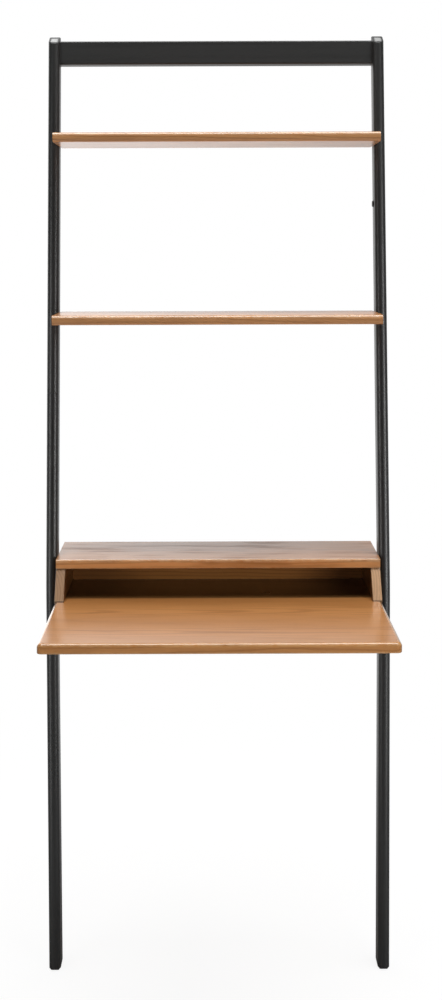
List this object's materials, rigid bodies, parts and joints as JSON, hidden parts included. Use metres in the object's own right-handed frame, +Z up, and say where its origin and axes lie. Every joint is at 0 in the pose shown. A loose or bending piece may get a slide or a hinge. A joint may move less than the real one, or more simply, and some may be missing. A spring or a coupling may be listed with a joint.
{
  "type": "ladder desk",
  "caption": "Ladder desk that leans on a wall: bent dark rails with rounded fronts, narrow wood shelves, and a deep wood work surface with a low open cubby at its back.",
  "frame": {"origin": "On the floor, in the middle of the width and half-way between the work surface's front edge and the wall plane.", "axes": "+Z up, +X to the user's right, +Y towards the wall that the rails lean on."},
  "size_m": [0.661, 0.57, 1.8155],
  "materials": {
    "charcoal_stained_wood": "satin charcoal stain over straight-grained wood",
    "honey_walnut": "satin lacquered honey walnut veneer",
    "zinc_steel": "zinc plated",
    "black_steel": "black powder coat",
    "black_nylon": "matte moulded",
    "black_rubber": "matte",
    "dark_stud": "semi-gloss moulded",
    "pale_dowel_wood": "plain unfinished beech"
  },
  "bodies": {
    "root": {"crossbar_connectors": "zinc_steel", "desk_bracket_left": "black_steel", "desk_bracket_right": "black_steel", "desk_bracket_screws": "zinc_steel", "desktop": "honey_walnut", "desktop_connectors": "zinc_steel", "foot_glide_left": "black_nylon", "foot_glide_right": "black_nylon", "hutch_back": "honey_walnut", "hutch_dowels": "pale_dowel_wood", "hutch_screws": "zinc_steel", "hutch_side_connectors": "zinc_steel", "hutch_side_left": "honey_walnut", "hutch_side_right": "honey_walnut", "hutch_top": "honey_walnut", "leg_left": "charcoal_stained_wood", "leg_right": "charcoal_stained_wood", "rail_dowels": "pale_dowel_wood", "rail_stud": "dark_stud", "shelf_lower": "honey_walnut", "shelf_lower_connectors": "zinc_steel", "shelf_upper": "honey_walnut", "shelf_upper_connectors": "zinc_steel", "top_crossbar": "charcoal_stained_wood", "upper_rail_left": "charcoal_stained_wood", "upper_rail_right": "charcoal_stained_wood", "wall_bracket_left": "black_steel", "wall_bracket_right": "black_steel", "wall_bracket_screws": "zinc_steel", "wall_bumper_left": "black_rubber", "wall_bumper_right": "black_rubber"}
  },
  "joints": []
}
